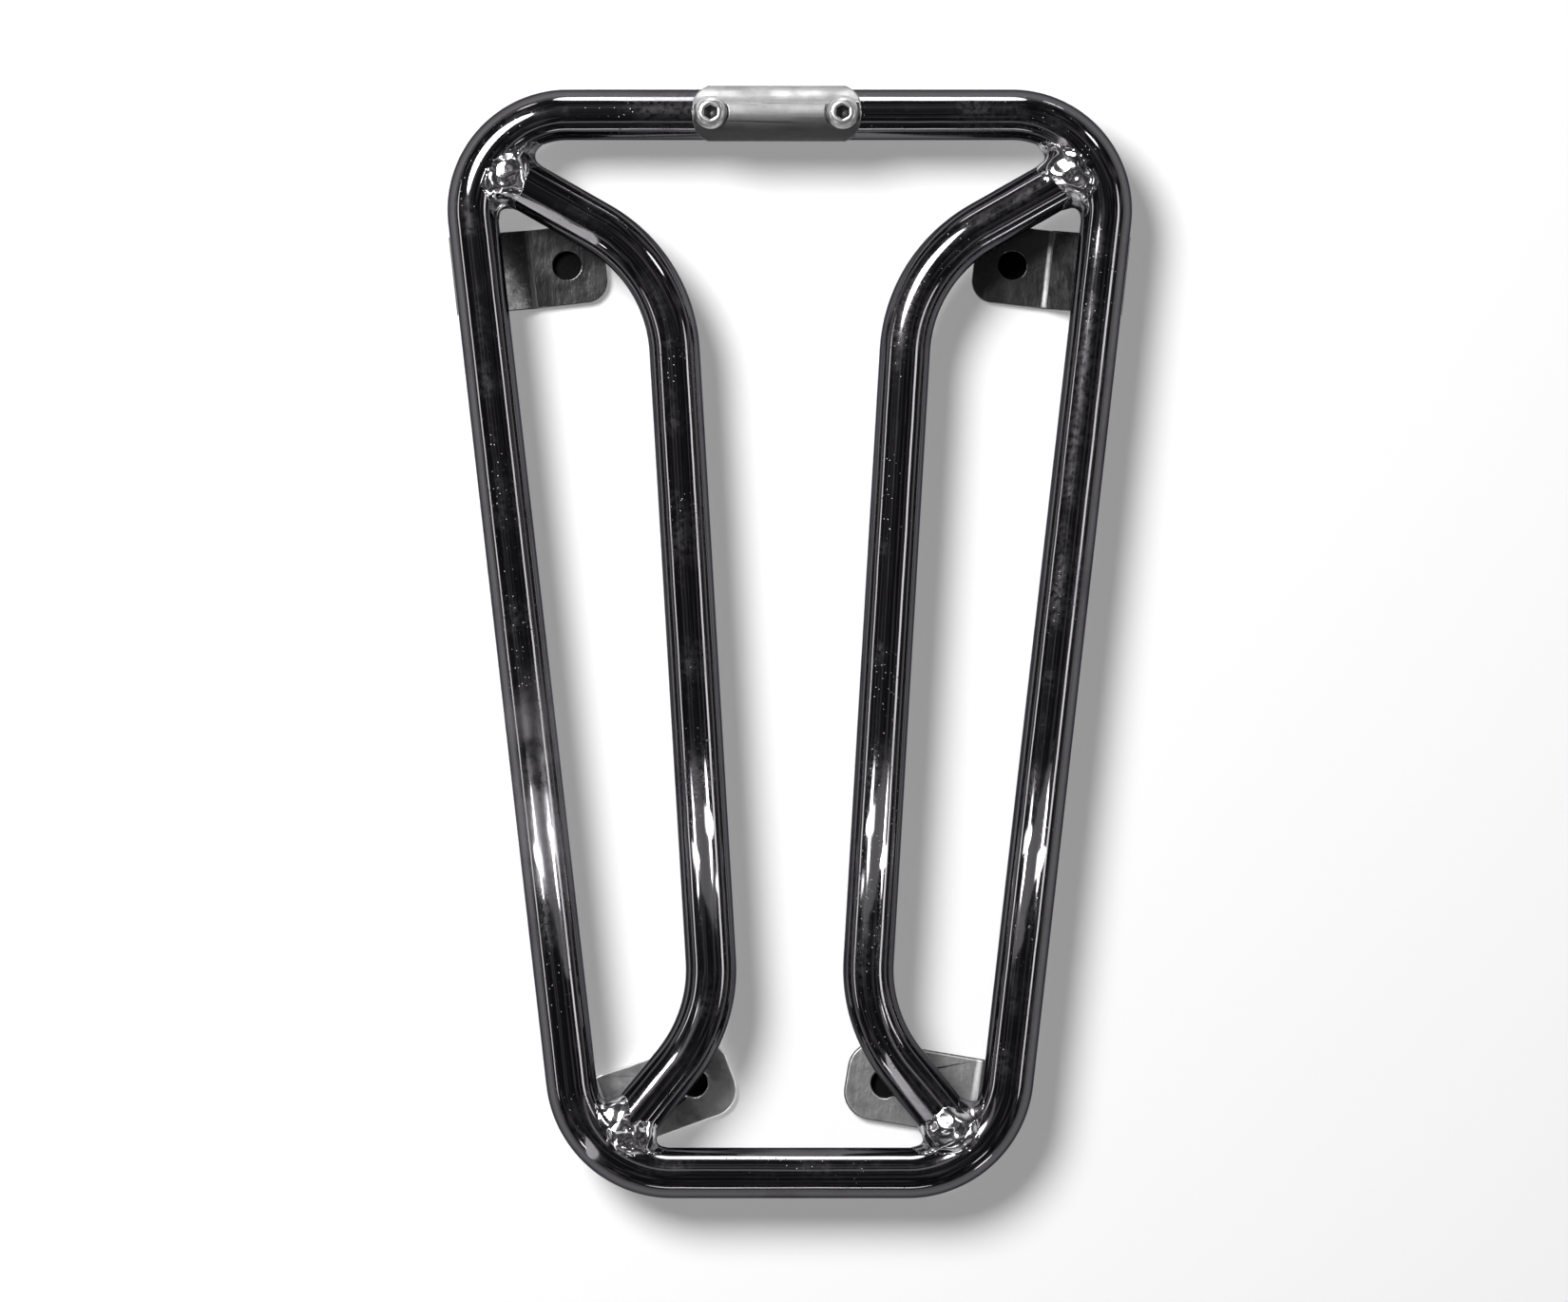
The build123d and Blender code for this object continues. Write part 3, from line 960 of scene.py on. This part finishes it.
def head_rows():
    """Radius and height of each round ring, up the shank and over the dome."""
    rows = [(SHANK_RADIUS, -SHANK_LENGTH), (SHANK_RADIUS, 0)]
    rows += [(HEAD_RADIUS * share, height) for share, height in HEAD_EDGE]
    dome_start = HEAD_EDGE[-1][1]
    for step in range(1, DOME_STEPS + 1):
        turn = step / DOME_STEPS * pi / 2
        inward = (HEAD_RADIUS - CROWN_RADIUS) * (1 - cos(turn)) ** DOME_FULLNESS
        rows.append((HEAD_RADIUS - inward, dome_start + (HEAD_HEIGHT - dome_start) * sin(turn)))
    return rows


def hexagon(turn):
    """How far the side of a hexagon, one unit across its flats, lies from its middle in this direction."""
    return 0.5 / cos((turn + pi / 6) % (pi / 3) - pi / 6)


def screw_rings():
    """The rings of a screw whose head sits at the origin: up the shank, over the dome and into the socket."""
    turns = [2 * pi * j / SCREW_RING for j in range(SCREW_RING)]
    rings = [[(radius * cos(t), radius * sin(t), height) for t in turns] for radius, height in head_rows()]
    for share, depth in SOCKET_LIP + SOCKET_FLOOR:
        sides = [(SOCKET_WIDTH * share * hexagon(t), t) for t in turns]
        rings.append([(side * cos(t), side * sin(t), HEAD_HEIGHT - depth) for side, t in sides])
    return rings


print("a screw has", len(screw_rings()), "rings")

# %% [markdown]
# ## Screws
# The heads are worn bright, and their sockets get painted shade: a dark finish for the shade in the hollow.
# It could be a mask in the steel, but the faces of the socket are known by their number: they come last. So
# they get a finish of their own.

# %% Badge screws
END_CAPS = 2

rings = screw_rings()
for side in ("left", "right"):
    low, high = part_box(f"{side}_badge_screw")
    middle = (low + high) / 2
    points = np.concatenate(rings) + np.array([middle.x, middle.y, high.z - HEAD_HEIGHT])
    faces = ring_faces(len(rings), SCREW_RING, False)
    name = f"{side}_button_screw"
    screw = new_piece(name, points, faces, screw_steel, f"{side}_badge_screw")
    # the socket's faces carry the painted shade
    screw.data.materials.append(socket_grime)
    for polygon in list(screw.data.polygons)[-len(SOCKET_FLOOR) * SCREW_RING - END_CAPS:]:
        polygon.material_index = 1
    print(side, "screw head at", [round(x / MM, 1) for x in middle])

# %% [markdown]
# ## Smooth shading with sharp edges
# The tabs and the badge plate are folded and rolled, so they have both round folds and crisp edges. Smooth
# shading alone would smear light over the crisp ones. A small net of geometry nodes shades a mesh smooth
# apart from the edges that turn sharply, and as a modifier it leaves the mesh of the engineering model as
# it is.

# %% Smooth shading
SHARP_TURN = radians(35)


def smooth_below(angle):
    """A node group that shades a mesh smooth, apart from the edges that turn by more than this."""
    tree = bpy.data.node_groups.new("smooth shading", "GeometryNodeTree")
    for way in ("INPUT", "OUTPUT"):
        tree.interface.new_socket("Geometry", in_out=way, socket_type="NodeSocketGeometry")
    net = Net(tree)
    mesh = net.add("NodeGroupInput")
    gentle = net.add("GeometryNodeInputMeshEdgeAngle") < angle
    for domain, smooth in (("FACE", True), ("EDGE", gentle)):
        sockets = {"Geometry": mesh, "Shade Smooth": smooth}
        mesh = net.add("GeometryNodeSetShadeSmooth", {"domain": domain}, sockets)
    net.add("NodeGroupOutput", {}, {"Geometry": mesh})
    return tree


smooth_shading = smooth_below(SHARP_TURN)
print("smooth shading of", len(smooth_shading.nodes), "nodes")

# %% [markdown]
# ## Tabs and badge plate
# The tabs and the plate could be drawn again, as the tubes are, but they have the right shape already. The
# solids stay, and modifiers do the rest: the facets are joined, and a bevel takes the sharpness off the
# edges, because real edges catch a thin line of light.

# %% Tabs and badge plate
JOIN_DISTANCE = 0.001 * MM
EASED_STEPS = 3
REAR_TAB_EASE = 0.35 * MM
FRONT_TAB_EASE = 0.8 * MM
PLATE_EASE = 0.5 * MM


def soften(name, finish, width):
    """A solid of the engineering model with its edges eased and a finish of its own."""
    solid = solids[name]
    solid.data.materials.clear()
    solid.data.materials.append(finish)
    solid.modifiers.new("joined facets", "WELD").merge_threshold = JOIN_DISTANCE
    solid.modifiers.new("smooth curves", "NODES").node_group = smooth_shading
    bevel = solid.modifiers.new("eased edges", "BEVEL")
    bevel.width = width
    bevel.segments = EASED_STEPS
    bevel.limit_method = "ANGLE"
    bevel.angle_limit = SHARP_TURN
    bevel.harden_normals = True
    bevel.use_clamp_overlap = False


for side, front_finish in (("left", front_left_lit_chrome), ("right", front_right_lit_chrome)):
    soften(f"rear_{side}_tab", rear_tab_shaded_chrome, REAR_TAB_EASE)
    soften(f"front_{side}_tab", front_finish, FRONT_TAB_EASE)
soften("badge_plate", badge_alloy, PLATE_EASE)
print("edges eased on the tabs and the badge plate")

# %% [markdown]
# ## The floor
# The rack lies on white. A plain white floor under these lamps would turn out grey, and stronger lamps
# would wash out its shadow. So where the camera or a reflection looks at the floor, a little light of its
# own is added. It turns out white then, and its shadow stays soft.

# %% Floor
FLOOR_SIZE = 6.0
FLOOR_DROP = 0.3 * MM
PAPER_WHITE = grey(0.75)
PAPER_GLOW = 0.27


def seen_directly(net):
    """1 for rays of the camera, of reflections and through glass, 0 for the rest."""
    rays = ("Is Camera Ray", "Is Glossy Ray", "Is Transmission Ray")
    camera_ray, glossy_ray, glass_ray = [net.add("ShaderNodeLightPath", output=ray) for ray in rays]
    return camera_ray.math("MINIMUM", camera_ray + glossy_ray + glass_ray, 1)


paper, net = new_finish("white_floor")
sheen = net.add("ShaderNodeBsdfDiffuse", {}, {"Color": PAPER_WHITE})
glow = net.add("ShaderNodeEmission", {}, {"Color": WHITE, "Strength": PAPER_GLOW})
lit = net.add("ShaderNodeAddShader", {}, {0: sheen, 1: glow})
net.surface(net.add("ShaderNodeMixShader", {}, {0: seen_directly(net), 1: sheen, 2: lit}))

half = FLOOR_SIZE / 2
floor_mesh = bpy.data.meshes.new("floor")
floor_corners = [(-half, -half, 0), (half, -half, 0), (half, half, 0), (-half, half, 0)]
floor_mesh.from_pydata(floor_corners, [], [(0, 1, 2, 3)])
floor_mesh.materials.append(paper)
floor = bpy.data.objects.new("floor", floor_mesh)
floor.location.z = -FLOOR_DROP
bpy.context.scene.collection.objects.link(floor)
floor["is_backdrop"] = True
print("white floor of", FLOOR_SIZE, "m laid")

# %% [markdown]
# ## Dark under the bolt holes
# The four bolt holes look black in the photograph, as if the rack had lain on something dark. The holes
# could be closed with black plugs, but the real rack has open ones. So a small disc of dark felt lies on
# the floor under each hole and hides behind its tab.

# %% Dark discs
REAR_HOLE = (70.9 * MM, 120.5 * MM)
FRONT_HOLE = (30.6 * MM, -139.8 * MM)
HOLES = [(side * x, y) for x, y in (REAR_HOLE, FRONT_HOLE) for side in (-1, 1)]
DISC_RADIUS = 5.2 * MM
DISC_POINTS = 48
DISC_DROP = 0.15 * MM
FLUFF_SCALE = 900

dark_felt, net = new_finish("dark_felt")
fluff = net.noise(net.add("ShaderNodeTexCoord", output="Object"), FLUFF_SCALE, detail=3)
black = net.mix(fluff, grey(0.004), grey(0.012))
felt = {"Base Color": black, "Roughness": 1, "Specular IOR Level": 0}
net.surface(net.add("ShaderNodeBsdfPrincipled", {}, felt))

turns = [2 * pi * j / DISC_POINTS for j in range(DISC_POINTS)]
for i, (x, y) in enumerate(HOLES):
    disc_mesh = bpy.data.meshes.new(f"disc_{i}")
    edge = [(DISC_RADIUS * cos(turn), DISC_RADIUS * sin(turn), 0) for turn in turns]
    disc_mesh.from_pydata(edge, [], [tuple(range(DISC_POINTS))])
    disc_mesh.materials.append(dark_felt)
    disc = bpy.data.objects.new(f"disc_{i}", disc_mesh)
    disc.location = (x, y, -DISC_DROP)
    bpy.context.scene.collection.objects.link(disc)
    disc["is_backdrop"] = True
print("dark discs laid under", len(HOLES), "holes")

# %% [markdown]
# ## The room
# Chrome shows the room, and the photograph's room was dark with a pale horizon: the edges of the tubes,
# which show what lies low, are pale. A picture of a room could be wrapped round the scene, but a noise is
# enough: it puts some paler things into the dark, so that the black of the tubes isn't empty. Only the
# camera and reflections see them, so they don't light the floor.

# %% World
HORIZON = (0.05, 0.32)
HORIZON_COLOUR = grey(0.75)
CEILING_COLOUR = (0.028, 0.027, 0.03, 1)
THINGS_COLOUR = (0.4, 0.385, 0.4, 1)
THINGS_SCALE = 7
THINGS_EDGE = (0.48, 0.72)

world = bpy.data.worlds.new("studio")
bpy.context.scene.world = world
world.use_nodes = True
net = Net(world.node_tree)
direction = net.add("ShaderNodeTexCoord", output="Generated")
height = net.add("ShaderNodeSeparateXYZ", {}, {"Vector": direction}, output="Z")
things = net.rise(net.noise(direction, THINGS_SCALE, detail=4, roughness=0.6), *THINGS_EDGE)
ceiling = net.mix(things * seen_directly(net), CEILING_COLOUR, THINGS_COLOUR)
room = net.mix(net.rise(height, *HORIZON), HORIZON_COLOUR, ceiling)
background = net.add("ShaderNodeBackground", {}, {"Color": room, "Strength": 1})
net.add("ShaderNodeOutputWorld", {}, {"Surface": background})
print("room of", len(world.node_tree.nodes), "nodes made")

# %% [markdown]
# ## A lamp
# Chrome shows the lamps themselves, so what counts is how bright they look. Glowing cards could do that,
# but area lamps render with less noise. A lamp's power follows from its area and from how bright it has to
# look. Only the big key lamp lights the floor, which keeps the shadow deep.

# %% Lamp
ALL_ROUND = radians(180)


def lamp(name, place, width, height, brightness, aim=(0, 0, 0), spread=ALL_ROUND, lights_floor=False):
    """A flat, oval lamp that looks this bright. Its width lies level."""
    light = bpy.data.lights.new(name, "AREA")
    light.shape = "ELLIPSE"
    light.size = width
    light.size_y = height
    light.spread = spread
    light.energy = pi * (pi / 4 * width * height) * brightness
    made = bpy.data.objects.new(name, light)
    made.location = place
    made.rotation_euler = (Vector(aim) - Vector(place)).to_track_quat("-Z", "Y").to_euler()
    made.visible_camera = False
    made.visible_diffuse = lights_floor
    bpy.context.scene.collection.objects.link(made)


print("lamp helper ready")

# %% [markdown]
# ## Lamps round the rack
# A large lamp up to the left gives the soft shadow. It stands on the diagonal, so the straight tubes don't
# show it and stay dark. One dome of light would be simpler, but it would turn the tubes grey. A round tube
# shows a lamp as a line at half the lamp's angle from straight up: low lamps give lines near the edge of a
# tube, high ones lines near its middle. So strips at the sides draw the lines on the long tubes, strips
# behind and in front those on the cross tubes, and small lamps on the diagonals the bright runs in the
# bends.

# %% Lamps round the rack
lamp("key lamp", (-0.73, 0.72, 1.55), width=0.8, height=0.8, brightness=27.5, lights_floor=True)
lamp("right strip", (1.2, 0, 0.85), width=1.0, height=0.22, brightness=5.5)
lamp("left strip", (-1.2, 0, 0.5), width=1.0, height=0.13, brightness=5)
lamp("rear strip", (0, 1.3, 0.36), width=0.5, height=0.45, brightness=11)
lamp("front strip", (0, -1.3, 0.5), width=0.6, height=0.11, brightness=5)
lamp("low rear right strip", (0.573, 1.38, 0.1), width=0.25, height=0.12, brightness=8)
lamp("rear left strip", (-0.573, 1.38, 0.42), width=0.25, height=0.12, brightness=8)
lamp("low front right strip", (0.86, -1.14, 0.2), width=0.25, height=0.12, brightness=10)
lamp("front right strip", (0.86, -1.14, 1.1), width=0.25, height=0.12, brightness=6)
lamp("front left panel", (-0.63, -0.77, 0.68), width=0.14, height=1.3, brightness=3)
lamp("rear right lamp", (0.85, 0.85, 0.8), width=0.2, height=0.2, brightness=12)
lamp("front left lamp", (-0.85, -0.85, 0.6), width=0.1, height=0.1, brightness=12)
print(len(bpy.data.lights), "lamps placed round the rack")

# %% [markdown]
# ## Lamps close over the tubes
# In the lower half of the picture each long tube has a pair of short, soft streaks with a bright glint in
# the middle. A distant lamp gives a line along the whole tube, so these come from small lamps that hang
# close over the tubes. Two streak lamps hang over each side, one to the left and one to the right, each
# with a thinner glint lamp below it. Their narrow spread keeps them off the other side, and a wide panel
# adds a faint sheen.

# %% Lamps close over the tubes
SIDE_TUBES = 52 * MM
OUTER_STREAK = -74 * MM
INNER_STREAK = -56 * MM
STREAK_ASIDE = 105 * MM
STREAK_HEIGHT = 0.18
STREAK_LAMP = {"width": 0.038, "height": 0.045, "brightness": 0.9, "spread": radians(22)}
GLINT_ASIDE = 52 * MM
GLINT_HEIGHT = 0.1
GLINT_LAMP = {"width": 0.008, "height": 0.085, "brightness": 2.5, "spread": radians(50)}

lamp("streak panel", (0, -0.073, 0.34), width=0.6, height=0.045, brightness=0.75)
for side in (-1, 1):
    tubes = SIDE_TUBES * side
    for way, along in ((side, OUTER_STREAK), (-side, INNER_STREAK)):
        aim = (tubes, along, AXIS_HEIGHT)
        streak_place = (tubes + STREAK_ASIDE * way, along, STREAK_HEIGHT)
        glint_place = (tubes + GLINT_ASIDE * way, along, GLINT_HEIGHT)
        lamp(f"streak lamp {side} {way}", streak_place, aim=aim, **STREAK_LAMP)
        lamp(f"glint lamp {side} {way}", glint_place, aim=aim, **GLINT_LAMP)
print(len(bpy.data.lights), "lamps in all")

# %% [markdown]
# ## The end
# The dressed rack has to keep the size of the engineering model. It could be compared by eye, but numbers
# are surer, so the box of the dressed rack is printed.

# %% Sizes
low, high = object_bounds()
print("dressed box", [round(x, 4) for x in high - low])
